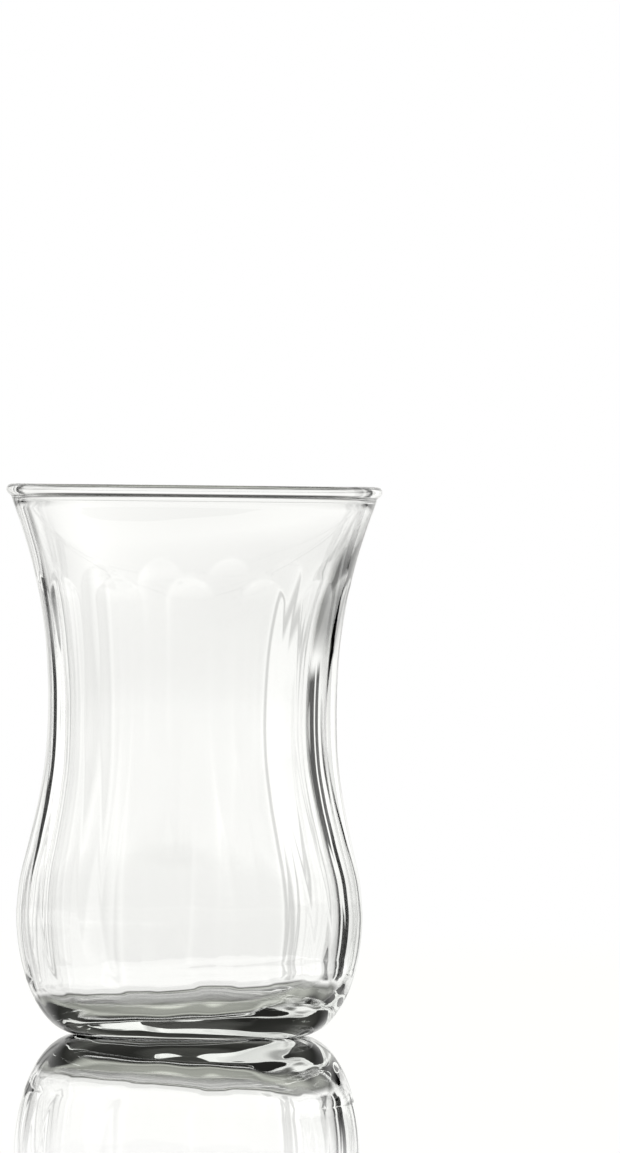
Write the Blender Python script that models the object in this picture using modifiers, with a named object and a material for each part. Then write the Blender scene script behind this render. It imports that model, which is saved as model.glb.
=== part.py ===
"""A waisted tea glass with arched panels pressed into its outside.

The glass is one closed solid. It stands on the plane Z = 0 with its axis on Z, and the
origin is the centre of the ring that it rests on. All sizes are in metres.
"""
import math

import bpy

# Whole glass
HEIGHT = 0.0920
GLASS_NAME = "tea_glass"

# Outer wall from the belly up: height and radius at the places that give the waisted outline
BELLY_HEIGHT = 0.0205
BELLY_RADIUS = 0.02915
OUTER_STATIONS = (
    (BELLY_HEIGHT, BELLY_RADIUS),
    (0.0259, 0.02860),
    (0.0326, 0.02705),
    (0.0393, 0.02558),
    (0.0461, 0.02457),
    (0.0545, 0.02423),   # waist
    (0.0629, 0.02450),
    (0.0697, 0.02525),
    (0.0781, 0.02692),
    (0.0848, 0.02890),
    (0.0900, 0.03072),   # under the rim bead
)

# Outer wall below the belly: a quarter ellipse that ends level on the table
FOOT_RADIUS = 0.0187

# Mean wall thickness at heights between the floor and the rim
WALL_STATIONS = (
    (0.0130, 0.0039),
    (0.0210, 0.0039),
    (0.0545, 0.0038),
    (0.0730, 0.0024),
    (0.0830, 0.0017),
    (0.0900, 0.0015),
)

# Rim bead: a ring of round section on top of the wall
BEAD_RADIUS = 0.0010
BEAD_RING_RADIUS = 0.0305

# Cavity floor and the curved corner that joins it to the wall
FLOOR_HEIGHT = 0.0052
FLOOR_CORNER_WIDTH = 0.0062
FLOOR_CORNER_HEIGHT = 0.0062

# The plunger that formed the cavity stood a little off the axis, and its end was not quite level
CAVITY_SHIFT_X = -0.0009
CAVITY_SHIFT_Y = 0.0007
SHIFT_FADE_TOP = 0.0890
SHIFT_FADE_BOTTOM = 0.0600
FLOOR_TILT = math.radians(3.0)
FLOOR_TILT_TOP = 0.0300
FLOOR_TILT_BOTTOM = 0.0100

# Foot: flat ring that bears on the table, and the shallow hollow inside it
BEARING_INNER_RADIUS = 0.0172
HOLLOW_DEPTH = 0.0012

# Pressed panels: flat strips side by side, with a round crest between them
PANEL_COUNT = 13
STEPS_PER_PANEL = 6
CREST_STEPS = 2
FIRST_CREST_ANGLE = math.radians(-132.8)
PANEL_TOP = 0.0767
PANEL_FADE_TOP = 0.0130
PANEL_FADE_BOTTOM = 0.0050

# The panels stand upright above the waist and lean slowly sideways below it
TWIST_TOP = 0.0530
TWIST_PER_METRE = math.radians(260.0)

# Fineness of the solid
BODY_ROW_SPACING = 0.0034
ARCH_ROWS = 5
UPPER_ROWS = 5
INNER_ROWS = 14
CORNER_ROWS = 7
FOOT_ROWS = 9
BEAD_SEGMENTS = 9
HOLLOW_ROWS = 3

MERGE_DISTANCE = 0.00001

STEPS = PANEL_COUNT * STEPS_PER_PANEL
STEP_ANGLE = 2.0 * math.pi / STEPS
PANEL_PITCH = 2.0 * math.pi / PANEL_COUNT
PANEL_HALF_ANGLE = 0.5 * (STEPS_PER_PANEL - CREST_STEPS) * STEP_ANGLE
CREST_HALF_ANGLE = 0.5 * CREST_STEPS * STEP_ANGLE


def clear_scene():
    """Remove every object that the file holds."""
    for item in list(bpy.data.objects):
        bpy.data.objects.remove(item, do_unlink=True)


def spread(start, end, count):
    """Give count + 1 values from start to end, both included."""
    return [start + (end - start) * index / count for index in range(count + 1)]


def smooth_share(value, start, end):
    """Rise smoothly from 0 at start to 1 at end."""
    share = min(max((value - start) / (end - start), 0.0), 1.0)
    return share * share * (3.0 - 2.0 * share)


def smooth_value(stations, place):
    """Read a smooth curve through (place, value) stations, with cubic pieces."""
    last = len(stations) - 1
    place = min(max(place, stations[0][0]), stations[last][0])
    index = 0
    while index < last - 1 and place > stations[index + 1][0]:
        index += 1

    def slope(at):
        before = stations[max(at - 1, 0)]
        after = stations[min(at + 1, last)]
        return (after[1] - before[1]) / (after[0] - before[0])

    start, end = stations[index], stations[index + 1]
    length = end[0] - start[0]
    t = (place - start[0]) / length
    return (
        (2 * t ** 3 - 3 * t ** 2 + 1) * start[1]
        + (t ** 3 - 2 * t ** 2 + t) * length * slope(index)
        + (3 * t ** 2 - 2 * t ** 3) * end[1]
        + (t ** 3 - t ** 2) * length * slope(index + 1)
    )


def outer_radius(height):
    """Radius of the round outer wall, before the panels are pressed in."""
    if height < BELLY_HEIGHT:
        drop = min((BELLY_HEIGHT - height) / BELLY_HEIGHT, 1.0)
        return FOOT_RADIUS + (BELLY_RADIUS - FOOT_RADIUS) * math.sqrt(1.0 - drop ** 2)
    return smooth_value(OUTER_STATIONS, height)


def inner_radius(height):
    """Radius of the cavity above its rounded corner."""
    return outer_radius(height) - smooth_value(WALL_STATIONS, height)


def mid_wall_radius(height):
    """Radius halfway through the wall, where the height is above the floor."""
    return outer_radius(height) - 0.5 * smooth_value(WALL_STATIONS, height)


def outer_wall():
    """Outer side from under the bead down to the edge of the bearing ring."""
    arch_bottom = PANEL_TOP - panel_half_width(PANEL_TOP)
    body_rows = round((arch_bottom - BELLY_HEIGHT) / BODY_ROW_SPACING)
    heights = spread(OUTER_STATIONS[-1][0], PANEL_TOP, UPPER_ROWS)[:-1]
    heights += spread(PANEL_TOP, arch_bottom, ARCH_ROWS)[:-1]
    heights += spread(arch_bottom, BELLY_HEIGHT, body_rows)[:-1]
    for angle in spread(0.0, math.pi / 2.0, FOOT_ROWS):
        heights.append(BELLY_HEIGHT * (1.0 - math.sin(angle)))
    return [(outer_radius(height), height) for height in heights]


def rim_bead():
    """Round section of the rim, from the cavity side over the top to the outer side."""
    centre_height = HEIGHT - BEAD_RADIUS
    start = math.radians(210.0)
    end = math.radians(-60.0)
    return [
        (BEAD_RING_RADIUS + BEAD_RADIUS * math.cos(angle), centre_height + BEAD_RADIUS * math.sin(angle))
        for angle in spread(start, end, BEAD_SEGMENTS)
    ]


def cavity():
    """Cavity side from the middle of the floor up to the rim."""
    corner_top = FLOOR_HEIGHT + FLOOR_CORNER_HEIGHT
    flat_radius = inner_radius(corner_top) - FLOOR_CORNER_WIDTH
    points = [(0.0, FLOOR_HEIGHT)]
    for angle in spread(0.0, math.pi / 2.0, CORNER_ROWS):
        radius = flat_radius + FLOOR_CORNER_WIDTH * math.sin(angle)
        height = corner_top - FLOOR_CORNER_HEIGHT * math.cos(angle)
        points.append((radius, height))
    wall_top = HEIGHT - 2.5 * BEAD_RADIUS
    for height in spread(corner_top, wall_top, INNER_ROWS)[1:]:
        points.append((inner_radius(height), height))
    return points


def underside():
    """Inner edge of the bearing ring and the shallow hollow, ending on the axis."""
    points = [(BEARING_INNER_RADIUS, 0.0)]
    for share in spread(0.0, 1.0, HOLLOW_ROWS)[1:]:
        radius = BEARING_INNER_RADIUS * (1.0 - share)
        height = HOLLOW_DEPTH * math.sin(share * math.pi / 2.0)
        points.append((radius, height))
    return points


def panel_half_width(height):
    """Half the width of a panel's flat, measured on the glass."""
    return outer_radius(height) * math.sin(PANEL_HALF_ANGLE)


def panel_depth(height):
    """How far the middle of a panel lies inside the round wall at this height."""
    if height >= PANEL_TOP:
        return 0.0
    full_depth = outer_radius(height) * (1.0 - math.cos(PANEL_HALF_ANGLE))
    run_out = min((PANEL_TOP - height) / panel_half_width(PANEL_TOP), 1.0)
    arch = 2.0 * run_out - run_out ** 2
    return full_depth * arch * smooth_share(height, PANEL_FADE_BOTTOM, PANEL_FADE_TOP)


def twist_angle(height):
    """How far the panels have turned sideways at this height."""
    return max(TWIST_TOP - height, 0.0) * TWIST_PER_METRE


def press_panels(mesh):
    """Turn each row by the twist and push the outer wall back to the panels' flats."""
    first_middle = 2.0 * CREST_HALF_ANGLE + PANEL_HALF_ANGLE
    for vertex in mesh.vertices:
        x, y, height = vertex.co
        radius = math.hypot(x, y)
        if radius < MERGE_DISTANCE:
            continue
        angle = math.atan2(y, x)
        offset = (angle - first_middle) % PANEL_PITCH
        if offset > PANEL_PITCH / 2.0:
            offset -= PANEL_PITCH
        on_outer_wall = radius > outer_radius(height) - MERGE_DISTANCE
        if on_outer_wall and PANEL_FADE_BOTTOM < height < PANEL_TOP:
            flat = (outer_radius(height) - panel_depth(height)) / math.cos(offset)
            radius = min(radius, flat)
        angle += FIRST_CREST_ANGLE - CREST_HALF_ANGLE + twist_angle(height)
        vertex.co.x = radius * math.cos(angle)
        vertex.co.y = radius * math.sin(angle)


def shift_cavity(mesh):
    """Move the cavity below the rim off the axis, and tilt its floor."""
    for vertex in mesh.vertices:
        x, y, height = vertex.co
        below_bead = HOLLOW_DEPTH + MERGE_DISTANCE < height < OUTER_STATIONS[-1][0]
        if not below_bead or math.hypot(x, y) > mid_wall_radius(height):
            continue
        shift_share = smooth_share(height, SHIFT_FADE_TOP, SHIFT_FADE_BOTTOM)
        vertex.co.x += CAVITY_SHIFT_X * shift_share
        vertex.co.y += CAVITY_SHIFT_Y * shift_share
        floor_share = smooth_share(height, FLOOR_TILT_TOP, FLOOR_TILT_BOTTOM)
        vertex.co.z += vertex.co.x * math.tan(FLOOR_TILT) * floor_share


def clear_glass():
    """Colourless glass with the faint grey-green of thick soda glass."""
    material = bpy.data.materials.new("clear_glass")
    material.use_nodes = True
    shader = material.node_tree.nodes["Principled BSDF"]
    shader.inputs["Base Color"].default_value = (0.86, 0.89, 0.86, 1.0)
    shader.inputs["Roughness"].default_value = 0.02
    shader.inputs["Metallic"].default_value = 0.0
    shader.inputs["IOR"].default_value = 1.52
    shader.inputs["Transmission Weight"].default_value = 1.0
    return material


def turned_blank(points, collection):
    """Turn the section round Z and return the evaluated mesh."""
    section = bpy.data.meshes.new("glass_section")
    vertices = [(radius, 0.0, height) for radius, height in points]
    edges = [(index, index + 1) for index in range(len(points) - 1)]
    section.from_pydata(vertices, edges, [])
    blank = bpy.data.objects.new("glass_blank", section)
    collection.objects.link(blank)
    turn = blank.modifiers.new("Turn", "SCREW")
    turn.axis = "Z"
    turn.angle = 2.0 * math.pi
    turn.steps = STEPS
    turn.render_steps = STEPS
    turn.use_merge_vertices = True
    turn.merge_threshold = MERGE_DISTANCE
    turn.use_smooth_shade = True
    bpy.context.view_layer.update()
    evaluated = blank.evaluated_get(bpy.context.evaluated_depsgraph_get())
    mesh = bpy.data.meshes.new_from_object(evaluated)
    bpy.data.objects.remove(blank, do_unlink=True)
    return mesh


def build_glass():
    """Make the glass and put it in its collection."""
    collection = bpy.data.collections.new("tea_glass_parts")
    bpy.context.scene.collection.children.link(collection)
    points = cavity() + rim_bead() + outer_wall() + underside()
    mesh = turned_blank(points, collection)
    mesh.name = GLASS_NAME
    press_panels(mesh)
    shift_cavity(mesh)
    mesh.shade_smooth()
    mesh.set_sharp_from_angle(angle=math.radians(35.0))
    glass = bpy.data.objects.new(GLASS_NAME, mesh)
    glass.data.materials.append(clear_glass())
    collection.objects.link(glass)
    return glass


clear_scene()
build_glass()
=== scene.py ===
"""Looks of a waisted tea glass with pressed panels, standing on a glossy white table.

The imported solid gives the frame. The glass is made again here as one finely divided wall, by a
Geometry Nodes tree that turns a section round the axis and presses the panels into its outside.
All sizes are in metres, angles are in radians unless a line says degrees, and +Z is up.
"""

import logging
import math
from dataclasses import dataclass, field
from enum import Enum

import bpy
from mathutils import Matrix, Vector


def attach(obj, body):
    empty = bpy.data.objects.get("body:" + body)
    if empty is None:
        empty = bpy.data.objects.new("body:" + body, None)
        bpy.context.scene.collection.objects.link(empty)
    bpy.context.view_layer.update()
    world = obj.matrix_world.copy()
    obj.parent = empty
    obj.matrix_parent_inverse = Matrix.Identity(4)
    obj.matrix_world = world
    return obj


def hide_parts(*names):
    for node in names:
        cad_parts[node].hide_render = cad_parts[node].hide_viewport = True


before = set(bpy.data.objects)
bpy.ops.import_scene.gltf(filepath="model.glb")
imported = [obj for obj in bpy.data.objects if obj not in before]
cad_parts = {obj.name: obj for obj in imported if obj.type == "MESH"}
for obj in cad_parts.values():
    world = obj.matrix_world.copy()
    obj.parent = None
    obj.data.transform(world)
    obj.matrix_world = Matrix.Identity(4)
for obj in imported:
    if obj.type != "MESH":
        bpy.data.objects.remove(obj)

LOG = logging.getLogger("tea_glass_scene")
BODY = "root"
NODE = "tea_glass"

# A start and an end.
Span = tuple[float, float]
# A place and the value there.
Station = tuple[float, float]
# A radius and a height.
Spot = tuple[float, float]
Colour = tuple[float, float, float, float]
Socket = bpy.types.NodeSocket

WHITE: Colour = (1.0, 1.0, 1.0, 1.0)
# Places of the share, the two colours and the result among the sockets of a Mix node.
MIX_INPUTS = (0, 6, 7)
MIX_OUTPUT = 2


def spread(start: float, end: float, count: int) -> list[float]:
    """Give evenly spaced values.

    Args:
        start: First value.
        end: Last value.
        count: Number of steps between them.

    Returns:
        count + 1 values, with both ends.
    """
    return [start + (end - start) * index / count for index in range(count + 1)]


def smooth_share(value: float, start: float, end: float) -> float:
    """Rise smoothly from 0 at one value to 1 at another.

    Args:
        value: Where to read the rise.
        start: Value that gives 0.
        end: Value that gives 1.

    Returns:
        A share from 0 to 1.
    """
    share = min(max((value - start) / (end - start), 0.0), 1.0)
    return share * share * (3.0 - 2.0 * share)


def smooth_value(stations: tuple[Station, ...], place: float) -> float:
    """Read a smooth curve through stations, with cubic pieces.

    Args:
        stations: Pairs of place and value, in rising order of place.
        place: Where to read the curve.

    Returns:
        The curve's value there.
    """
    last = len(stations) - 1
    place = min(max(place, stations[0][0]), stations[last][0])
    index = 0
    while index < last - 1 and place > stations[index + 1][0]:
        index += 1

    def slope(at: int) -> float:
        """Slope of the curve at a station, from its neighbours."""
        before = stations[max(at - 1, 0)]
        after = stations[min(at + 1, last)]
        return (after[1] - before[1]) / (after[0] - before[0])

    start, end = stations[index], stations[index + 1]
    length = end[0] - start[0]
    t = (place - start[0]) / length
    return (
        (2 * t ** 3 - 3 * t ** 2 + 1) * start[1]
        + (t ** 3 - 2 * t ** 2 + t) * length * slope(index)
        + (3 * t ** 2 - 2 * t ** 3) * end[1]
        + (t ** 3 - t ** 2) * length * slope(index + 1)
    )


def add_object(name: str, data: bpy.types.ID) -> bpy.types.Object:
    """Make an object and put it in the scene.

    Args:
        name: Its name.
        data: Its mesh or camera.

    Returns:
        The object.
    """
    made = bpy.data.objects.new(name, data)
    bpy.context.scene.collection.objects.link(made)
    return made


def add_sockets(tree: bpy.types.NodeTree, way: str, sockets: tuple[tuple[str, str], ...]) -> None:
    """Give a node group its sockets on one side.

    Args:
        tree: The group.
        way: Blender's name of the side.
        sockets: Pairs of a socket's name and of the last word of its type's name.
    """
    for name, kind in sockets:
        tree.interface.new_socket(name=name, in_out=way, socket_type=f"NodeSocket{kind}")


@dataclass
class NodeSheet:
    """Adds nodes to one tree and joins them.

    Attributes:
        tree: The node tree that is filled.
    """

    tree: bpy.types.NodeTree

    def add(self, kind: str, *values: object, label: str = "", named: dict[str, object] | None = None,
            **settings: object) -> bpy.types.Node:
        """Add a node.

        Args:
            kind: Blender's type name of the node.
            *values: Plain values or output sockets for its first inputs, in their order.
            label: Words shown on the node.
            named: The same for inputs that are called by their names.
            **settings: Properties to set on it.

        Returns:
            The new node.
        """
        node = self.tree.nodes.new(kind)
        node.label = label
        for name, value in settings.items():
            setattr(node, name, value)
        for value, socket in zip(values, node.inputs):
            self.feed(value, socket)
        for name, value in (named or {}).items():
            self.feed(value, node.inputs[name])
        return node

    def feed(self, value: object, socket: Socket) -> None:
        """Join an output socket to an input, or set the input to a plain value."""
        if isinstance(value, Socket):
            self.tree.links.new(value, socket)
        else:
            socket.default_value = value

    def math(self, operation: str, *values: object, label: str = "") -> Socket:
        """Add a Math node with up to three values and give its output."""
        return self.add("ShaderNodeMath", *values, label=label, operation=operation).outputs[0]

    def remap(self, value: object, low: float, high: float, to_low: object, to_high: object,
              kind: str = "SMOOTHSTEP") -> Socket:
        """Carry a range of values over to another range.

        Args:
            value: Plain number or output socket to read.
            low: Value that gives to_low.
            high: Value that gives to_high.
            to_low: Result at the low end.
            to_high: Result at the high end.
            kind: Blender's name of the way between them.

        Returns:
            The result, held within its range.
        """
        node = self.add("ShaderNodeMapRange", value, low, high, to_low, to_high, interpolation_type=kind)
        return node.outputs["Result"]

    def ramp(self, value: Socket, low: float, high: float, stops: tuple[Station, ...],
             label: str) -> Socket:
        """Read a grey ramp whose stops are given in the value's own units.

        Args:
            value: Output socket to read.
            low: Value at the ramp's left end, and place of its first stop.
            high: Value at the ramp's right end.
            stops: Pairs of value and brightness, in rising order.
            label: Words shown on the node.

        Returns:
            The ramp's colour output.
        """
        share = self.remap(value, low, high, 0.0, 1.0, "LINEAR")
        node = self.add("ShaderNodeValToRGB", share, label=label)
        elements = node.color_ramp.elements
        elements.remove(elements[-1])
        for index, (place, level) in enumerate(stops):
            element = elements.new((place - low) / (high - low)) if index else elements[0]
            element.color = (level, level, level, 1.0)
        return node.outputs["Color"]

    def mix_colours(self, label: str, share: object, first: object, second: object,
                    blend: str = "MIX") -> Socket:
        """Mix two colours.

        Args:
            label: Words shown on the node.
            share: Share of the second colour.
            first: Colour or output socket.
            second: Colour or output socket.
            blend: Blender's name of the way to mix them.

        Returns:
            The mixed colour.
        """
        node = self.add("ShaderNodeMix", label=label, data_type="RGBA", blend_type=blend)
        for value, index in zip((share, first, second), MIX_INPUTS):
            self.feed(value, node.inputs[index])
        return node.outputs[MIX_OUTPUT]

    def noise(self, vector: Socket, scale: Socket, detail: float, label: str) -> Socket:
        """Add a noise texture.

        Args:
            vector: Coordinates to read.
            scale: Its scale.
            detail: Number of finer layers.
            label: Words shown on the node.

        Returns:
            The noise as a value.
        """
        given = {"Vector": vector, "Scale": scale, "Detail": detail}
        return self.add("ShaderNodeTexNoise", label=label, named=given, noise_dimensions="3D").outputs[0]


def blank_sheet(owner: bpy.types.Material | bpy.types.World) -> NodeSheet:
    """Give a material or a world an empty node tree.

    Args:
        owner: The material or world.

    Returns:
        Its tree, ready to be filled.
    """
    owner.use_nodes = True
    owner.node_tree.nodes.clear()
    return NodeSheet(owner.node_tree)


class Zone(Enum):
    """Stretches of the glass's section, in the order in which it is drawn."""

    FLOOR = "floor of the cavity"
    CORNER = "rounded corner of the cavity"
    INNER_WALL = "inner wall"
    BEAD = "rim bead"
    UPPER_WALL = "outer wall above the panels"
    ARCHES = "outer wall along the tops of the panels"
    BODY = "outer wall along the panels"
    FOOT = "rounded foot"
    BEARING = "flat bearing ring"
    HOLLOW = "hollow under the foot"

    @property
    def in_cavity(self) -> bool:
        """Whether the stretch faces the cavity."""
        return self in (Zone.FLOOR, Zone.CORNER, Zone.INNER_WALL)

    @property
    def pressed(self) -> bool:
        """Whether the panels are pressed into the stretch."""
        return self in (Zone.ARCHES, Zone.BODY, Zone.FOOT)


@dataclass(frozen=True)
class SectionPoint:
    """One point of the section.

    Attributes:
        zone: The stretch that it belongs to.
        radius: Distance from the axis.
        height: Height above the table.
    """

    zone: Zone
    radius: float
    height: float


@dataclass(frozen=True)
class PressedPanels:
    """The flat panels round the outside, with narrow round crests between them.

    Attributes:
        count: Number of panels round the glass.
        half_angle: Half of the angle that a panel takes up.
        first_crest_angle: Angle of a crest from +X above the waist.
        top: Height of the tops of the arches.
        fade_top: Height below which the panels run out into the foot.
        fade_bottom: Height where nothing is left of them.
        twist_top: Height below which the panels lean sideways.
        twist_ease: Distance over which the lean sets in.
        twist_per_metre: Sideways turn for each metre below that height.
        bulge: How round a panel is, from 0 for flat to 1 for as round as the wall.
        crest_rounding: Distance over which a panel's edges are rounded off.
    """

    count: int = 13
    half_angle: float = math.radians(9.23)
    first_crest_angle: float = math.radians(-132.8)
    top: float = 0.0767
    fade_top: float = 0.0130
    fade_bottom: float = 0.0050
    twist_top: float = 0.0530
    twist_ease: float = 0.0040
    twist_per_metre: float = math.radians(260.0)
    bulge: float = 0.37
    crest_rounding: float = 0.00003

    def arch_bottom(self, wall_radius: float) -> float:
        """Give the height where the arches spring from the panels' straight edges.

        Args:
            wall_radius: Radius of the wall at the tops of the arches.

        Returns:
            The top less half a panel's width, as the arches are round.
        """
        return self.top - wall_radius * math.sin(self.half_angle)

    def share(self, height: float, wall_radius: float) -> float:
        """Give how deep the panels are pressed at a height.

        Args:
            height: Height above the table.
            wall_radius: Radius of the wall at the tops of the arches.

        Returns:
            0 where there are no panels, and 1 where they are fully pressed.
        """
        if height >= self.top:
            return 0.0
        run_out = min((self.top - height) / (self.top - self.arch_bottom(wall_radius)), 1.0)
        arch = 2.0 * run_out - run_out ** 2
        return arch * smooth_share(height, self.fade_bottom, self.fade_top)

    def turn(self, height: float) -> float:
        """Give how far the panels have turned sideways at a height."""
        below = max(self.twist_top - height, 0.0)
        return below * below / (below + self.twist_ease) * self.twist_per_metre


@dataclass(frozen=True)
class GlassOutline:
    """The section of the glass, as radii at heights.

    Attributes:
        height: Height of the whole glass.
        belly_height: Height of the widest place above the foot.
        belly_radius: Radius there.
        outer_stations: Heights and radii of the outer wall from the belly up.
        foot_radius: Outer edge of the ring that bears on the table.
        wall_stations: Heights and mean thicknesses of the wall.
        inner_wall_drop: How far below the rim the inner wall passes into the bead.
        bead_radius: Radius of the rim bead's round section.
        bead_ring_radius: Distance of the bead's middle from the axis.
        bead_angles: Angles in that section where it starts at the cavity and ends at the outer wall.
        floor_height: Height of the cavity's floor.
        corner_width: Width of the cavity's rounded corner.
        corner_height: Height of that corner.
        bearing_inner_radius: Inner edge of the bearing ring.
        hollow_depth: Depth of the hollow under the foot.
        rows: Number of steps in each stretch of the section.
    """

    height: float = 0.0920
    belly_height: float = 0.0205
    belly_radius: float = 0.02915
    outer_stations: tuple[Station, ...] = (
        (0.0205, 0.02915),
        (0.0259, 0.02860),
        (0.0326, 0.02705),
        (0.0393, 0.02558),
        (0.0461, 0.02457),
        (0.0545, 0.02423),
        (0.0629, 0.02450),
        (0.0697, 0.02525),
        (0.0781, 0.02692),
        (0.0848, 0.02890),
        (0.0900, 0.03072),
    )
    foot_radius: float = 0.0187
    wall_stations: tuple[Station, ...] = (
        (0.0130, 0.0039),
        (0.0210, 0.0039),
        (0.0545, 0.0038),
        (0.0730, 0.0024),
        (0.0830, 0.0017),
        (0.0900, 0.0015),
    )
    inner_wall_drop: float = 0.0025
    bead_radius: float = 0.0010
    bead_ring_radius: float = 0.0305
    bead_angles: Span = (math.radians(210.0), math.radians(-60.0))
    floor_height: float = 0.0052
    corner_width: float = 0.0062
    corner_height: float = 0.0062
    bearing_inner_radius: float = 0.0172
    hollow_depth: float = 0.0012
    rows: dict[Zone, int] = field(default_factory=lambda: {
        Zone.FLOOR: 10,
        Zone.CORNER: 30,
        Zone.INNER_WALL: 64,
        Zone.BEAD: 20,
        Zone.UPPER_WALL: 14,
        Zone.ARCHES: 14,
        Zone.BODY: 48,
        Zone.FOOT: 36,
        Zone.BEARING: 2,
        Zone.HOLLOW: 12,
    })

    @property
    def corner_top(self) -> float:
        """Height where the cavity's rounded corner meets the wall."""
        return self.floor_height + self.corner_height

    @property
    def floor_radius(self) -> float:
        """Radius of the flat part of the cavity's floor."""
        return self.inner_radius(self.corner_top) - self.corner_width

    def outer_radius(self, height: float) -> float:
        """Give the radius of the outer wall before the panels are pressed in."""
        if height < self.belly_height:
            drop = min((self.belly_height - height) / self.belly_height, 1.0)
            reach = self.belly_radius - self.foot_radius
            return self.foot_radius + reach * math.sqrt(1.0 - drop ** 2)
        return smooth_value(self.outer_stations, height)

    def inner_radius(self, height: float) -> float:
        """Give the radius of the cavity above its rounded corner."""
        return self.outer_radius(height) - smooth_value(self.wall_stations, height)

    def floor_points(self) -> list[Spot]:
        """Give the floor from the axis outwards."""
        radii = spread(0.0, self.floor_radius, self.rows[Zone.FLOOR])
        return [(radius, self.floor_height) for radius in radii]

    def corner_points(self) -> list[Spot]:
        """Give the rounded corner from the floor to the wall."""
        flat, top = self.floor_radius, self.corner_top
        return [
            (flat + self.corner_width * math.sin(angle), top - self.corner_height * math.cos(angle))
            for angle in spread(0.0, math.pi / 2.0, self.rows[Zone.CORNER])[1:]
        ]

    def inner_wall_points(self) -> list[Spot]:
        """Give the inner wall from the corner up to the bead."""
        heights = spread(self.corner_top, self.height - self.inner_wall_drop, self.rows[Zone.INNER_WALL])
        return [(self.inner_radius(height), height) for height in heights[1:]]

    def bead_points(self) -> list[Spot]:
        """Give the bead's section from the cavity side over the top to the outer side."""
        middle = self.height - self.bead_radius
        return [
            (self.bead_ring_radius + self.bead_radius * math.cos(angle),
             middle + self.bead_radius * math.sin(angle))
            for angle in spread(*self.bead_angles, self.rows[Zone.BEAD])
        ]

    def outer_points(self, zone: Zone, start: float, end: float) -> list[Spot]:
        """Give the outer wall from one height to another, with both ends."""
        return [(self.outer_radius(height), height) for height in spread(start, end, self.rows[zone])]

    def foot_points(self) -> list[Spot]:
        """Give the quarter ellipse from the belly down to the table."""
        angles = spread(0.0, math.pi / 2.0, self.rows[Zone.FOOT])[1:]
        heights = [self.belly_height * (1.0 - math.sin(angle)) for angle in angles]
        return [(self.outer_radius(height), height) for height in heights]

    def bearing_points(self) -> list[Spot]:
        """Give the flat ring that bears on the table, from its outer edge inwards."""
        radii = spread(self.foot_radius, self.bearing_inner_radius, self.rows[Zone.BEARING])[1:]
        return [(radius, 0.0) for radius in radii]

    def hollow_points(self) -> list[Spot]:
        """Give the shallow hollow from the ring to the axis."""
        shares = spread(0.0, 1.0, self.rows[Zone.HOLLOW])[1:]
        return [
            (self.bearing_inner_radius * (1.0 - share), self.hollow_depth * math.sin(share * math.pi / 2.0))
            for share in shares
        ]

    def section(self, panels: PressedPanels) -> list[SectionPoint]:
        """Give the whole section.

        Args:
            panels: The panels, for the heights of their arches.

        Returns:
            Points from the middle of the floor, over the rim, to the middle of the underside.
        """
        wall_top = self.outer_stations[-1][0]
        arch_bottom = panels.arch_bottom(self.outer_radius(panels.top))
        stretches = {
            Zone.FLOOR: self.floor_points(),
            Zone.CORNER: self.corner_points(),
            Zone.INNER_WALL: self.inner_wall_points(),
            Zone.BEAD: self.bead_points(),
            Zone.UPPER_WALL: self.outer_points(Zone.UPPER_WALL, wall_top, panels.top),
            Zone.ARCHES: self.outer_points(Zone.ARCHES, panels.top, arch_bottom)[1:],
            Zone.BODY: self.outer_points(Zone.BODY, arch_bottom, self.belly_height)[1:],
            Zone.FOOT: self.foot_points(),
            Zone.BEARING: self.bearing_points(),
            Zone.HOLLOW: self.hollow_points(),
        }
        return [
            SectionPoint(zone, radius, height)
            for zone, spots in stretches.items()
            for radius, height in spots
        ]


@dataclass(frozen=True)
class CavityPlace:
    """How the cavity lies in the glass, as the plunger that formed it left it.

    Attributes:
        shift: How far the cavity's axis lies off the glass's axis.
        fade_top: Height where the shift starts, under the rim.
        fade_bottom: Height below which it is full.
        tilt: Tilt of the cavity's floor, up towards +X.
        tilt_top: Height above which nothing is tilted.
        tilt_bottom: Height below which the tilt is full.
        unevenness: Greatest rise and fall of the cavity's floor.
        unevenness_scale: Number of swells of the floor for each metre.
    """

    shift: tuple[float, float, float] = (-0.00093, 0.00072, 0.0)
    fade_top: float = 0.0890
    fade_bottom: float = 0.0600
    tilt: float = math.radians(3.0)
    tilt_top: float = 0.0300
    tilt_bottom: float = 0.0100
    unevenness: float = 0.00090
    unevenness_scale: float = 90.0

    def shift_share(self, point: SectionPoint) -> float:
        """Give how much of the shift a point of the section takes."""
        return smooth_share(point.height, self.fade_top, self.fade_bottom) if point.zone.in_cavity else 0.0

    def floor_share(self, point: SectionPoint) -> float:
        """Give how much of the floor's tilt and unevenness a point takes."""
        return smooth_share(point.height, self.tilt_top, self.tilt_bottom) if point.zone.in_cavity else 0.0


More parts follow.
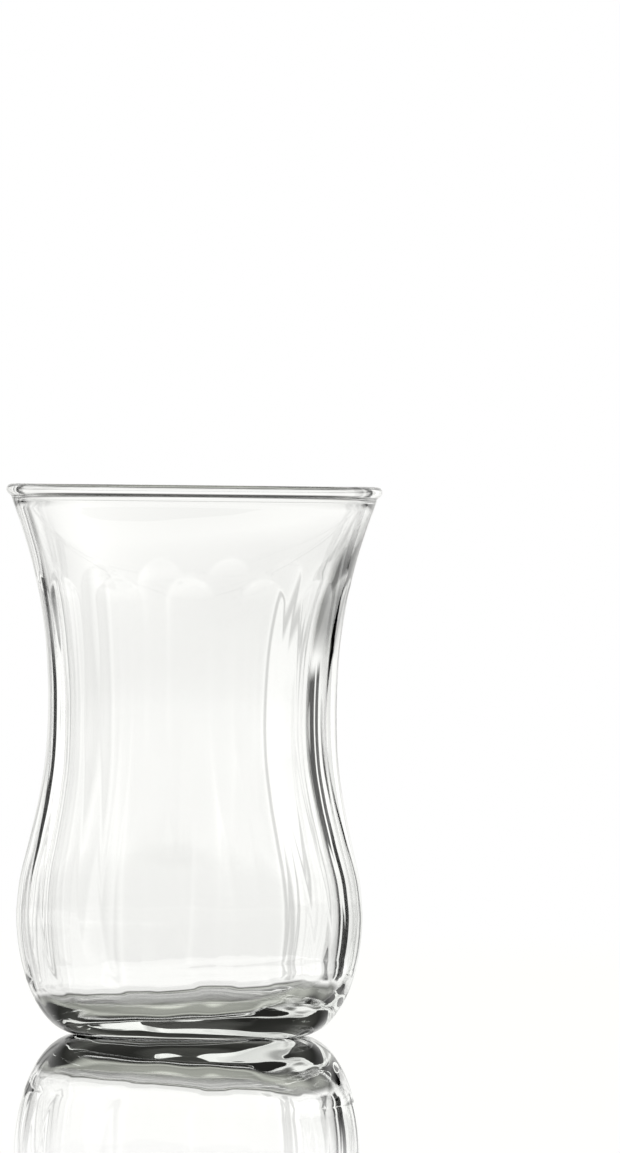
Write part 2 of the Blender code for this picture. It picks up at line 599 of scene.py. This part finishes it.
class WallTree:
    """Geometry Nodes tree that turns a section and presses the panels.

    The section is a mesh whose points carry the values named in ROW_VALUES. Each row of a grid
    takes one point of the section, and each column takes one angle round the axis. The cavity's
    floor swells from nothing to its full amount between the two radii of SWELL_RADII.
    """

    NAME = "turned wall with pressed panels"
    ROW_VALUES = ("panel_share", "panel_turn", "shift_share", "floor_share")
    INPUTS = (
        ("Section", "Geometry"),
        ("Columns", "Int"),
        ("Panels", "Float"),
        ("Panel Half Angle", "Float"),
        ("Panel Bulge", "Float"),
        ("Crest Rounding", "Float"),
        ("First Crest Angle", "Float"),
        ("Cavity Shift", "Vector"),
        ("Floor Tilt", "Float"),
        ("Floor Unevenness", "Float"),
        ("Unevenness Scale", "Float"),
        ("Glass", "Material"),
    )
    MERGE_DISTANCE = 0.000001
    SWELL_RADII = (0.0130, 0.0210)
    SWELL_DETAIL = 1.0

    def __init__(self) -> None:
        """Build the tree."""
        self.tree = bpy.data.node_groups.new(self.NAME, "GeometryNodeTree")
        self.tree.is_modifier = True
        add_sockets(self.tree, "INPUT", self.INPUTS)
        add_sockets(self.tree, "OUTPUT", (("Wall", "Geometry"),))
        self.sheet = NodeSheet(self.tree)
        self.given = self.sheet.add("NodeGroupInput").outputs
        self.build()

    def identifier(self, name: str) -> str:
        """Give the identifier by which a modifier knows an input."""
        return self.tree.interface.items_tree[name].identifier

    def sample(self, row: Socket, value: Socket, kind: str, label: str) -> Socket:
        """Read a value of the section's points for the row that a point of the grid lies in.

        Args:
            row: Index of the row.
            value: The value to read.
            kind: Blender's name of the value's type.
            label: Words shown on the node.

        Returns:
            The value at that row.
        """
        given = {"Geometry": self.given["Section"], "Value": value, "Index": row}
        node = self.sheet.add(
            "GeometryNodeSampleIndex", label=label, data_type=kind, domain="POINT", named=given)
        return node.outputs["Value"]

    def row_value(self, row: Socket, name: str) -> Socket:
        """Read one of the values named in ROW_VALUES for a row."""
        read = self.sheet.add(
            "GeometryNodeInputNamedAttribute", label=name, data_type="FLOAT", named={"Name": name})
        return self.sample(row, read.outputs["Attribute"], "FLOAT", name)

    def row_place(self, row: Socket) -> tuple[Socket, Socket]:
        """Read the radius and the height of the section for a row.

        Args:
            row: Index of the row.

        Returns:
            Radius and height.
        """
        position = self.sheet.add("GeometryNodeInputPosition").outputs["Position"]
        place = self.sample(row, position, "FLOAT_VECTOR", "place in the section")
        parts = self.sheet.add("ShaderNodeSeparateXYZ", place).outputs
        return parts["X"], parts["Z"]

    def pressed_radius(self, radius: Socket, share: Socket, angle: Socket) -> Socket:
        """Push the round wall back to the panels' faces.

        Args:
            radius: Radius of the round wall.
            share: How deep the panels are pressed in this row.
            angle: Angle of the column, from a crest.

        Returns:
            The pressed radius.
        """
        sheet = self.sheet
        pitch = sheet.math("DIVIDE", 2.0 * math.pi, self.given["Panels"], label="pitch")
        half_pitch = sheet.math("MULTIPLY", pitch, 0.5)
        from_middle = sheet.math("SUBTRACT", angle, half_pitch)
        behind = sheet.math("MULTIPLY", half_pitch, -1.0)
        offset = sheet.math("WRAP", from_middle, half_pitch, behind, label="angle from panel's middle")
        rise = sheet.math("SUBTRACT", 1.0, sheet.math("COSINE", self.given["Panel Half Angle"]))
        depth = sheet.math("MULTIPLY", rise, share)
        middle = sheet.math("MULTIPLY", radius, sheet.math("SUBTRACT", 1.0, depth))
        flat = sheet.math("DIVIDE", middle, sheet.math("COSINE", offset), label="flat face")
        to_wall = sheet.math("SUBTRACT", radius, flat)
        bulge = sheet.math("MULTIPLY", to_wall, self.given["Panel Bulge"])
        panel = sheet.math("ADD", flat, bulge, label="slightly round face")
        rounding = sheet.math("MULTIPLY", self.given["Crest Rounding"], share)
        return sheet.math("SMOOTH_MIN", panel, radius, rounding, label="wall or panel")

    def uneven_rise(self, x: Socket, y: Socket, radius: Socket) -> Socket:
        """Give the swell of the cavity's floor at a place, which grows towards its corner.

        Args:
            x: The place's X.
            y: The place's Y.
            radius: Radius of the section in this row.

        Returns:
            How far the floor rises there.
        """
        sheet = self.sheet
        place = sheet.add("ShaderNodeCombineXYZ", x, y).outputs[0]
        noise = sheet.noise(place, self.given["Unevenness Scale"], self.SWELL_DETAIL, "swells of the floor")
        centred = sheet.math("SUBTRACT", noise, 0.5)
        near_corner = sheet.remap(radius, *self.SWELL_RADII, 0.0, 1.0)
        swell = sheet.math("MULTIPLY", centred, near_corner)
        return sheet.math("MULTIPLY", swell, self.given["Floor Unevenness"])

    def through(self, kind: str, geometry: Socket, **inputs: object) -> Socket:
        """Pass the wall through a node.

        Args:
            kind: Blender's type name of the node.
            geometry: The wall as it is.
            **inputs: Values for its other inputs, by their names.

        Returns:
            The wall as the node leaves it.
        """
        return self.sheet.add(kind, named={"Geometry": geometry, **inputs}).outputs["Geometry"]

    def build(self) -> None:
        """Add all the nodes."""
        sheet = self.sheet
        size = sheet.add("GeometryNodeAttributeDomainSize", self.given["Section"], component="MESH")
        across = sheet.math("ADD", self.given["Columns"], 1.0, label="columns and the seam")
        counts = {"Vertices X": size.outputs["Point Count"], "Vertices Y": across}
        grid = sheet.add("GeometryNodeMeshGrid", named=counts).outputs["Mesh"]
        index = sheet.add("GeometryNodeInputIndex").outputs[0]
        row = sheet.math("FLOOR", sheet.math("DIVIDE", index, across), label="row")
        column = sheet.math("MODULO", index, across, label="column")
        step = sheet.math("DIVIDE", 2.0 * math.pi, self.given["Columns"])
        angle = sheet.math("MULTIPLY", column, step, label="angle from a crest")

        radius, height = self.row_place(row)
        share, turn, shift, floor = (self.row_value(row, name) for name in self.ROW_VALUES)
        pressed = self.pressed_radius(radius, share, angle)
        turned = sheet.math("ADD", sheet.math("ADD", angle, self.given["First Crest Angle"]), turn)
        aside = sheet.add("ShaderNodeSeparateXYZ", self.given["Cavity Shift"]).outputs
        x_round = sheet.math("MULTIPLY", pressed, sheet.math("COSINE", turned))
        y_round = sheet.math("MULTIPLY", pressed, sheet.math("SINE", turned))
        x = sheet.math("MULTIPLY_ADD", aside["X"], shift, x_round)
        y = sheet.math("MULTIPLY_ADD", aside["Y"], shift, y_round)
        slant = sheet.math("MULTIPLY", x, sheet.math("TANGENT", self.given["Floor Tilt"]))
        rise = sheet.math("ADD", slant, self.uneven_rise(x, y, radius))
        z = sheet.math("MULTIPLY_ADD", rise, floor, height)
        place = sheet.add("ShaderNodeCombineXYZ", x, y, z).outputs[0]

        wall = self.through("GeometryNodeSetPosition", grid, Position=place)
        wall = self.through("GeometryNodeMergeByDistance", wall, Distance=self.MERGE_DISTANCE)
        wall = self.through("GeometryNodeSetShadeSmooth", wall)
        wall = self.through("GeometryNodeRealizeInstances", wall)
        wall = self.through("GeometryNodeSetMaterial", wall, Material=self.given["Glass"])
        sheet.add("NodeGroupOutput", wall)


@dataclass(frozen=True)
class Skin:
    """The faint waves and smears of a smooth surface.

    Attributes:
        wave_depth: Height of the waves.
        wave_scale: Number of waves for each metre.
        smear_scale: Number of smears for each metre.
        smear_roughness: Greatest roughness where the surface was handled.
    """

    wave_depth: float
    wave_scale: float
    smear_scale: float
    smear_roughness: float


class SurfaceWaves:
    """Shader node group for the faint waves and smears of a smooth surface.

    Smears show where their noise is above the first value of SMEAR_EDGE, and fully above the second.
    """

    NAME = "faint waves and smears"
    INPUTS = (
        ("Vector", "Vector"),
        ("Wave Scale", "Float"),
        ("Smear Scale", "Float"),
        ("Smear Amount", "Float"),
    )
    WAVE_DETAIL = 1.0
    SMEAR_DETAIL = 5.0
    SMEAR_EDGE = (0.55, 0.80)

    def __init__(self) -> None:
        """Build the group."""
        self.tree = bpy.data.node_groups.new(self.NAME, "ShaderNodeTree")
        add_sockets(self.tree, "INPUT", self.INPUTS)
        add_sockets(self.tree, "OUTPUT", (("Height", "Float"), ("Smear", "Float")))
        sheet = NodeSheet(self.tree)
        given = sheet.add("NodeGroupInput").outputs
        waves = sheet.noise(given["Vector"], given["Wave Scale"], self.WAVE_DETAIL, "waves")
        smears = sheet.noise(given["Vector"], given["Smear Scale"], self.SMEAR_DETAIL, "smears")
        patches = sheet.remap(smears, *self.SMEAR_EDGE, 0.0, 1.0)
        amount = sheet.math("MULTIPLY", patches, given["Smear Amount"])
        sheet.add("NodeGroupOutput", waves, amount)

    def place_in(self, sheet: NodeSheet, place: Socket, skin: Skin) -> dict[str, Socket]:
        """Put the group in a material, with the Bump node for its waves.

        Args:
            sheet: The material's nodes.
            place: Object coordinates.
            skin: Sizes of the waves and smears.

        Returns:
            The shader's roughness and normal, by the names of its inputs.
        """
        sizes = (skin.wave_scale, skin.smear_scale, skin.smear_roughness)
        group = sheet.add("ShaderNodeGroup", place, *sizes, label=self.NAME, node_tree=self.tree).outputs
        waves = {"Distance": skin.wave_depth, "Height": group["Height"]}
        bump = sheet.add("ShaderNodeBump", label="waves of the surface", named=waves)
        return {"Roughness": group["Smear"], "Normal": bump.outputs["Normal"]}


@dataclass(frozen=True)
class ClearGlass:
    """Finish of the glass: colourless, faintly grey-green where it is thick.

    Attributes:
        refraction: Index of refraction.
        depth_colour: Colour that light takes on in thick glass.
        depth_density: How soon it takes on that colour.
        skin: Faint waves and smears of the pressed surface.
    """

    refraction: float = 1.52
    depth_colour: Colour = (0.70, 0.80, 0.68, 1.0)
    depth_density: float = 4.0
    skin: Skin = Skin(wave_depth=0.000012, wave_scale=110.0, smear_scale=60.0, smear_roughness=0.003)

    def material(self, waves: SurfaceWaves) -> bpy.types.Material:
        """Make the material.

        Args:
            waves: Group for the faint waves and smears.

        Returns:
            The glass material.
        """
        made = bpy.data.materials.new("clear_glass_finish")
        sheet = blank_sheet(made)
        place = sheet.add("ShaderNodeTexCoord").outputs["Object"]
        shader = sheet.add("ShaderNodeBsdfPrincipled", named={
            "Base Color": WHITE,
            "Metallic": 0.0,
            "IOR": self.refraction,
            "Transmission Weight": 1.0,
            **waves.place_in(sheet, place, self.skin),
        })
        thick = {"Color": self.depth_colour, "Density": self.depth_density}
        depth = sheet.add("ShaderNodeVolumeAbsorption", label="colour of thick glass", named=thick)
        result = {"Surface": shader.outputs[0], "Volume": depth.outputs[0]}
        sheet.add("ShaderNodeOutputMaterial", named=result)
        return made


class TableRays:
    """What the table's material reads of each ray that meets it.

    Attributes:
        sheet: The material's nodes.
        away: Distance from the middle of the glass's foot.
        facing: 1 less the sine of the ray's angle above the table.
        seen: 1 for what the camera sees straight, and 0 for what reaches the glass.
    """

    def __init__(self, sheet: NodeSheet, place: Socket) -> None:
        """Add the nodes that read them.

        Args:
            sheet: The material's nodes.
            place: Object coordinates.
        """
        self.sheet = sheet
        self.away = sheet.add("ShaderNodeVectorMath", place, operation="LENGTH").outputs["Value"]
        self.facing = sheet.add("ShaderNodeLayerWeight").outputs["Facing"]
        self.seen = sheet.add("ShaderNodeLightPath").outputs["Is Camera Ray"]

    def by_angle(self, angles: Span, lower: object, upper: object) -> Socket:
        """Pass from one value to another as the ray's angle above the table rises.

        Args:
            angles: Angles between which it passes over.
            lower: Value below them.
            upper: Value above them.

        Returns:
            The value for the ray.
        """
        start, end = (1.0 - math.sin(angle) for angle in angles)
        return self.sheet.remap(self.facing, end, start, upper, lower)

    def by_distance(self, distances: Span, near: float, far: float) -> Socket:
        """Pass from one value to another between two distances from the foot's middle."""
        return self.sheet.remap(self.away, *distances, near, far)

    def by_sight(self, cast: Socket, seen: float) -> Socket:
        """Give one value to what reaches the glass and another to what the camera sees straight."""
        return self.sheet.remap(self.seen, 0.0, 1.0, cast, seen, "LINEAR")


@dataclass(frozen=True)
class GlossTable:
    """Finish of the table: a white glow with painted shade around the glass, and a mirror where it is seen at
    a low angle.

    Angles are those of a ray above the table, and distances lie from the middle of the glass's foot.
    Only what reaches the glass sees the painted shade: the glow is darker beside and under the glass,
    and the mirror image is dimmer close by. The camera sees the table evenly white.

    Attributes:
        mirror_angles: Angles below which it mirrors fully and above which it doesn't mirror.
        mirror_fade: Distances between which the mirror image fades.
        mirror_level: Brightness of the mirror image as it is seen.
        mirror_painted_shade_level: Brightness that the mirror image gives to the glass from close by, dimmed
            there as painted shade.
        mirror_far: Distance from which on it gives the glass its full brightness, where that painted shade
            ends.
        seen_level: Brightness of the bare table as it is seen.
        painted_shade_angles: Angles below which it gives the glass all of that and above which it gives less,
            as painted shade.
        painted_shade_level: Brightness that it gives steeply from beside the glass, a painted shade that only
            the glass sees.
        painted_shade_under_level: Brightness that it gives steeply from under the glass, a painted shade that
            only the glass sees.
        painted_shade_fade: Distances between which the one painted shade passes into the other.
        painted_shade_end_angles: Angles between which it passes back out of the painted shade to its full
            brightness, for light straight up.
        tint: Colour of the bare table.
        skin: Faint waves of the lacquer.
    """

    mirror_angles: Span = (math.radians(20.0), math.radians(60.0))
    mirror_fade: Span = (0.20, 0.46)
    mirror_level: float = 1.03
    # Painted shade: the mirror image is dimmer for the glass close by.
    mirror_painted_shade_level: float = 0.86
    mirror_far: float = 1.6
    seen_level: float = 1.0
    # Painted shade on the glowing table, seen only by the glass: darker beside and under it.
    painted_shade_angles: Span = (math.radians(36.0), math.radians(46.0))
    painted_shade_level: float = 0.22
    painted_shade_under_level: float = 0.36
    painted_shade_fade: Span = (0.035, 0.050)
    painted_shade_end_angles: Span = (math.radians(65.0), math.radians(75.0))
    tint: Colour = (0.975, 1.0, 0.90, 1.0)
    skin: Skin = Skin(wave_depth=0.000002, wave_scale=25.0, smear_scale=25.0, smear_roughness=0.0)

    def mirror_share(self, rays: TableRays) -> Socket:
        """Give how much of the light is mirrored.

        Args:
            rays: The rays that meet the table.

        Returns:
            A share from 0 to 1.
        """
        by_angle = rays.by_angle(self.mirror_angles, 1.0, 0.0)
        near = rays.by_distance(self.mirror_fade, 1.0, 0.0)
        unseen = rays.sheet.math("SUBTRACT", 1.0, rays.seen)
        by_place = rays.sheet.math("MAXIMUM", near, unseen)
        return rays.sheet.math("MULTIPLY", by_angle, by_place)

    def mirror_brightness_with_painted_shade(self, rays: TableRays) -> Socket:
        """Give how bright the mirror image is, dimmed by painted shade close to the glass for what reaches
        the glass.
        """
        # Painted shade: a dimmer mirror image close to the glass, for what reaches it.
        cast = rays.by_distance((0.0, self.mirror_far), self.mirror_painted_shade_level, 1.0)
        return rays.by_sight(cast, self.mirror_level)

    def glow_with_painted_shade(self, rays: TableRays) -> Socket:
        """Give how bright the table's glow is where it doesn't mirror, with painted shade beside and under
        the glass for what reaches the glass.

        Args:
            rays: The rays that meet the table.

        Returns:
            The brightness.
        """
        # Painted shade: the glow is darker beside and under the glass for rays that reach the glass.
        shade = rays.by_distance(self.painted_shade_fade, self.painted_shade_under_level, self.painted_shade_level)
        beside = rays.by_angle(self.painted_shade_angles, self.seen_level, shade)
        cast = rays.by_angle(self.painted_shade_end_angles, beside, self.seen_level)
        return rays.by_sight(cast, self.seen_level)

    def material(self, waves: SurfaceWaves) -> bpy.types.Material:
        """Make the material.

        Args:
            waves: Group for the faint waves and smears.

        Returns:
            The table's material.
        """
        made = bpy.data.materials.new("gloss_table_finish")
        sheet = blank_sheet(made)
        place = sheet.add("ShaderNodeTexCoord").outputs["Object"]
        rays = TableRays(sheet, place)
        polish = {"Color": self.mirror_brightness_with_painted_shade(rays), **waves.place_in(sheet, place, self.skin)}
        mirror = sheet.add("ShaderNodeBsdfGlossy", named=polish)
        hue = sheet.mix_colours("colour of the table", rays.seen, self.tint, WHITE)
        # The table glows, evenly white for the camera and with painted shade beside and under the glass for
        # what reaches the glass.
        bare = sheet.add("ShaderNodeEmission", hue, self.glow_with_painted_shade(rays), label="bare table")
        share = self.mirror_share(rays)
        mix = sheet.add("ShaderNodeMixShader", share, bare.outputs[0], mirror.outputs[0])
        sheet.add("ShaderNodeOutputMaterial", named={"Surface": mix.outputs[0]})
        return made


@dataclass
class TeaGlass:
    """The glass itself.

    Attributes:
        outline: Its section.
        panels: The panels pressed into its outside.
        cavity: How its cavity lies.
        finish: What its glass looks like.
        columns_per_panel: Number of faces across each panel and crest.
    """

    outline: GlassOutline = field(default_factory=GlassOutline)
    panels: PressedPanels = field(default_factory=PressedPanels)
    cavity: CavityPlace = field(default_factory=CavityPlace)
    finish: ClearGlass = field(default_factory=ClearGlass)
    columns_per_panel: int = 30

    def section_object(self) -> bpy.types.Object:
        """Make the section as a mesh whose points carry the values of their rows.

        Returns:
            The section, to be turned.
        """
        points = self.outline.section(self.panels)
        mesh = bpy.data.meshes.new("glass_section")
        places = [(point.radius, 0.0, point.height) for point in points]
        mesh.from_pydata(places, [(index, index + 1) for index in range(len(points) - 1)], [])
        arch_radius = self.outline.outer_radius(self.panels.top)
        rows = {name: [] for name in WallTree.ROW_VALUES}
        for point in points:
            share = self.panels.share(point.height, arch_radius) if point.zone.pressed else 0.0
            rows["panel_share"].append(share)
            rows["panel_turn"].append(self.panels.turn(point.height))
            rows["shift_share"].append(self.cavity.shift_share(point))
            rows["floor_share"].append(self.cavity.floor_share(point))
        for name, values in rows.items():
            mesh.attributes.new(name, "FLOAT", "POINT").data.foreach_set("value", values)
        return add_object("glass_section", mesh)

    def build(self, waves: SurfaceWaves) -> bpy.types.Object:
        """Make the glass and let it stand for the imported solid.

        Args:
            waves: Group for the faint waves and smears.

        Returns:
            The glass.
        """
        wall = WallTree()
        section = self.section_object()
        turning = section.modifiers.new("Turn and press", "NODES")
        turning.node_group = wall.tree
        settings = {
            "Columns": self.columns_per_panel * self.panels.count,
            "Panels": float(self.panels.count),
            "Panel Half Angle": self.panels.half_angle,
            "Panel Bulge": self.panels.bulge,
            "Crest Rounding": self.panels.crest_rounding,
            "First Crest Angle": self.panels.first_crest_angle,
            "Cavity Shift": self.cavity.shift,
            "Floor Tilt": self.cavity.tilt,
            "Floor Unevenness": self.cavity.unevenness,
            "Unevenness Scale": self.cavity.unevenness_scale,
            "Glass": self.finish.material(waves),
        }
        for name, value in settings.items():
            turning[wall.identifier(name)] = value
        depsgraph = bpy.context.evaluated_depsgraph_get()
        mesh = bpy.data.meshes.new_from_object(section.evaluated_get(depsgraph))
        section.modifiers.remove(turning)
        bpy.data.objects.remove(section, do_unlink=True)
        mesh.name = "clear_glass_wall"
        glass = add_object("clear_glass_wall", mesh)
        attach(glass, BODY)
        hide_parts(NODE)
        triangles = sum(len(face.vertices) - 2 for face in mesh.polygons)
        LOG.info("%s: %d triangles, for node %s", glass.name, triangles, NODE)
        return glass


@dataclass
class Table:
    """The table top that the glass stands on.

    Attributes:
        width: Its width and depth.
        gap: How far its face lies below the bearing ring, so that the two never share a plane.
        finish: What it looks like.
    """

    width: float = 6.0
    gap: float = 0.00003
    finish: GlossTable = field(default_factory=GlossTable)

    def build(self, waves: SurfaceWaves) -> bpy.types.Object:
        """Make the table top.

        Args:
            waves: Group for the faint waves and smears.

        Returns:
            The table top.
        """
        half = self.width / 2.0
        mesh = bpy.data.meshes.new("table_top")
        corners = [(x, y, -self.gap) for x, y in ((-half, -half), (half, -half), (half, half), (-half, half))]
        mesh.from_pydata(corners, [], [(0, 1, 2, 3)])
        mesh.materials.append(self.finish.material(waves))
        top = add_object("table_top", mesh)
        LOG.info("%s: %.1f m wide", top.name, self.width)
        return top


@dataclass(frozen=True)
class Studio:
    """Soft light from all round: a white tent with dark gaps between its walls and an open top.

    Attributes:
        level: Brightness of the tent.
        tint: Colour of its cloth.
        round_stops: Brightness of its walls by the angle from +Y towards +X, in degrees.
        wall_top: Angles above level where the walls start and end to pass into plain white.
        opening_lean: How far the middle of the dark opening leans from straight up towards +Y.
        opening_stops: Brightness by the angle from the middle of that opening, in degrees.
    """

    level: float = 1.18
    tint: Colour = (1.0, 1.0, 0.98, 1.0)
    round_stops: tuple[Station, ...] = (
        (-180.0, 1.00), (-43.3, 1.00), (-42.8, 0.01), (-32.2, 0.01), (-31.7, 1.00),
        (-28.2, 1.00), (-27.6, 0.35), (-24.6, 0.35), (-24.0, 1.00), (-19.0, 0.92),
        (-15.0, 0.30), (-12.0, 0.82), (-5.0, 0.75), (-3.5, 0.92), (-1.0, 0.83),
        (5.0, 0.83), (8.0, 0.85), (10.0, 0.95), (12.0, 0.40), (14.0, 0.94),
        (31.7, 0.98), (32.2, 0.01), (42.8, 0.01), (43.3, 1.00), (46.7, 0.95),
        (47.2, 0.01), (57.7, 0.01), (58.2, 1.00), (83.0, 0.60), (90.0, 1.00),
    )
    wall_top: Span = (math.radians(12.0), math.radians(18.0))
    opening_lean: float = math.radians(13.0)
    opening_stops: tuple[Station, ...] = (
        (0.0, 0.02), (52.0, 0.02), (62.0, 1.00), (74.0, 1.00), (79.0, 0.92), (180.0, 0.92),
    )

    def tent_colour(self, sheet: NodeSheet) -> Socket:
        """Give the colour that the tent has in each direction.

        Args:
            sheet: The world's nodes.

        Returns:
            The colour.
        """
        where = sheet.add("ShaderNodeTexCoord").outputs["Generated"]
        x, y, z = sheet.add("ShaderNodeSeparateXYZ", where).outputs
        round_angle = sheet.math("DEGREES", sheet.math("ARCTAN2", x, y))
        sides = sheet.ramp(round_angle, -180.0, 180.0, self.round_stops, "walls of the tent")
        start, end = (math.sin(height) for height in self.wall_top)
        above = sheet.remap(z, start, end, 0.0, 1.0)
        walls = sheet.mix_colours("plain above the walls", above, sides, WHITE)
        middle = (0.0, math.sin(self.opening_lean), math.cos(self.opening_lean))
        towards = sheet.add("ShaderNodeVectorMath", where, middle, operation="DOT_PRODUCT")
        opening_angle = sheet.math("DEGREES", sheet.math("ARCCOSINE", towards.outputs["Value"]))
        opening = sheet.ramp(opening_angle, 0.0, 180.0, self.opening_stops, "opening at the top")
        both = sheet.mix_colours("walls and opening", 1.0, walls, opening, "MULTIPLY")
        return sheet.mix_colours("colour of the cloth", 1.0, both, self.tint, "MULTIPLY")

    def build(self) -> bpy.types.World:
        """Make the world.

        Returns:
            The world, white where the camera sees it straight.
        """
        world = bpy.data.worlds.new("studio_light")
        sheet = blank_sheet(world)
        tent = sheet.add("ShaderNodeBackground", self.tent_colour(sheet), self.level, label="tent")
        plain = sheet.add("ShaderNodeBackground", WHITE, label="white behind the glass")
        seen = sheet.add("ShaderNodeLightPath").outputs["Is Camera Ray"]
        mix = sheet.add("ShaderNodeMixShader", seen, tent.outputs[0], plain.outputs[0])
        sheet.add("ShaderNodeOutputWorld", named={"Surface": mix.outputs[0]})
        bpy.context.scene.world = world
        stops = len(self.round_stops), len(self.opening_stops)
        LOG.info("%s: %d stops round, %d for the opening", world.name, *stops)
        return world


@dataclass(frozen=True)
class StudioCamera:
    """The camera, at the height of the rim and with a long lens.

    Attributes:
        place: Where it stands.
        target: The point in the middle of the picture.
        lens_mm: Focal length.
        sensor_mm: Width of the sensor's long side.
        roll: Turn about its own axis.
        reach: Distance beyond which it sees nothing.
        bounces: Most times that light is bent or mirrored on its way through the glass.
    """

    place: tuple[float, float, float] = (0.0, -1.74, 0.092)
    target: tuple[float, float, float] = (0.0195, 0.0, 0.0769)
    lens_mm: float = 324.3
    sensor_mm: float = 36.0
    roll: float = math.radians(0.6)
    reach: float = 20.0
    bounces: int = 7

    def build(self) -> bpy.types.Object:
        """Make the camera and set how colours are shown.

        Returns:
            The camera, set as the scene's own.
        """
        data = bpy.data.cameras.new("studio_camera")
        data.lens = self.lens_mm
        data.sensor_width = self.sensor_mm
        data.clip_end = self.reach
        camera = add_object("studio_camera", data)
        place = Vector(self.place)
        look = (Vector(self.target) - place).to_track_quat("-Z", "Y").to_matrix().to_4x4()
        turned = look @ Matrix.Rotation(self.roll, 4, "Z")
        camera.matrix_world = Matrix.Translation(place) @ turned
        scene = bpy.context.scene
        scene.camera = camera
        scene.view_settings.view_transform = "Standard"
        scene.cycles.max_bounces = self.bounces
        scene.cycles.transmission_bounces = self.bounces
        scene.cycles.glossy_bounces = self.bounces
        LOG.info("%s: %.1f mm lens, %.2f m away", camera.name, self.lens_mm, place.length)
        return camera


def main() -> None:
    """Build the glass, the table, the light and the camera, and note the sizes."""
    logging.basicConfig(level=logging.INFO, format="%(name)s: %(message)s")
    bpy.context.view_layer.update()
    waves = SurfaceWaves()
    TeaGlass().build(waves)
    Table().build(waves)
    Studio().build()
    StudioCamera().build()
    bpy.context.view_layer.update()


if __name__ == "__main__":
    main()
